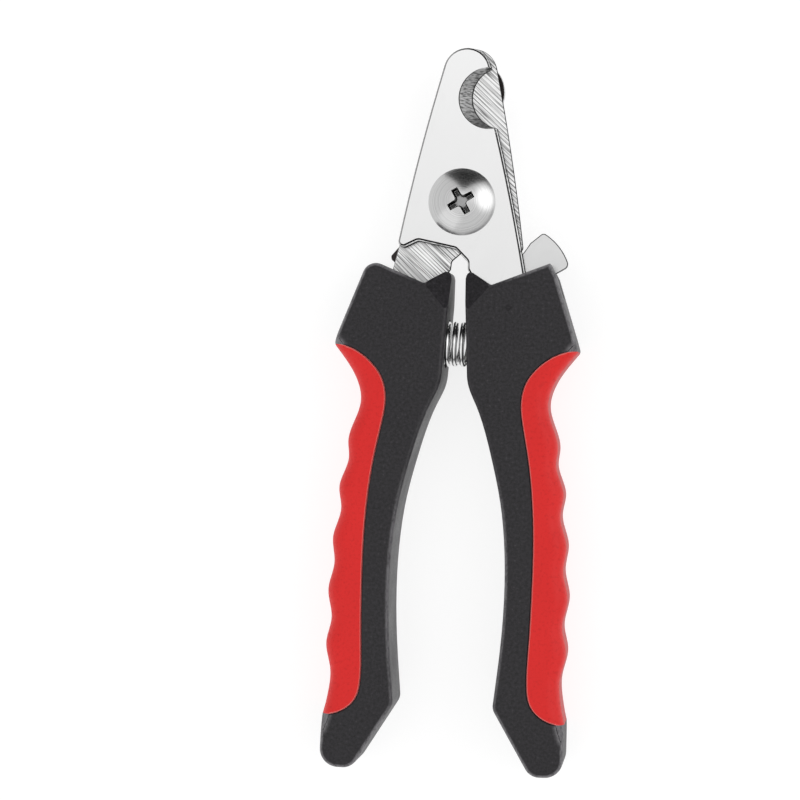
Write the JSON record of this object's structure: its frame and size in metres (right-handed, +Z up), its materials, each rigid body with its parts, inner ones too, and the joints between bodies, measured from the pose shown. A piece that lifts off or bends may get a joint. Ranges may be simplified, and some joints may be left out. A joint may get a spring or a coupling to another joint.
{
  "type": "pet nail trimmer",
  "caption": "Plier-type pet nail trimmer: notched bevelled jaws on a screw pivot, swinging nail stop, thumb lock, return spring and black handles with soft red finger-wave grips.",
  "frame": {"origin": "half way along the trimmer and on the line through its pivot, on the surface it lies on, with the backs of the handles down; the middle of its box is 0.2 mm to the right of this point", "axes": "+Y towards the jaw tips, +Z up out of the front face that carries the screw head, +X towards the handle with the lock"},
  "size_m": [0.0537, 0.159, 0.016],
  "materials": {
    "polished_jaw": "mirror-polished stainless face with finely ground edges",
    "ground_blade": "stainless, ground in diagonal lines",
    "screw_steel": "bright plated truss head",
    "hardware_steel": "zinc plated",
    "guard_steel": "polished sheet steel",
    "lock_steel": "polished stamping",
    "spring_steel": "bright nickel-plated wire",
    "black_plastic": "black, finely spark-textured moulding",
    "red_rubber": "red soft-touch moulding, matt"
  },
  "bodies": {
    "right_side": {"front_jaw": "polished_jaw", "right_handle": "black_plastic", "right_grip": "red_rubber", "pivot_screw": "screw_steel", "pivot_sleeve": "hardware_steel", "guard_washer": "hardware_steel", "pivot_washer": "hardware_steel", "pivot_nut": "hardware_steel", "lock_rivet": "hardware_steel", "lock_washer": "hardware_steel", "return_spring": "spring_steel"},
    "left_side": {"rear_blade": "ground_blade", "left_handle": "black_plastic", "left_grip": "red_rubber"},
    "nail_stop": {"safety_guard": "guard_steel"},
    "lock": {"lock_lever": "lock_steel"}
  },
  "joints": [
    {"name": "jaw_pivot", "type": "hinge", "parent": "right_side", "child": "left_side", "pos_m": [0, 0.0454, 0.0086], "axis": [0, 0, -1], "range_deg": [0, 18], "stiffness_Nm_per_rad": 1.37, "springref_deg": 23.03, "deforming": ["return_spring"]},
    {"name": "stop_pivot", "type": "hinge", "parent": "left_side", "child": "nail_stop", "pos_m": [0, 0.0454, 0.0044], "axis": [0, 0, -1], "range_deg": [0, 60]},
    {"name": "lock_swing", "type": "hinge", "parent": "right_side", "child": "lock", "pos_m": [0.0124, 0.0239, 0.0072], "axis": [0, 0, -1], "range_deg": [0, 15]}
  ]
}
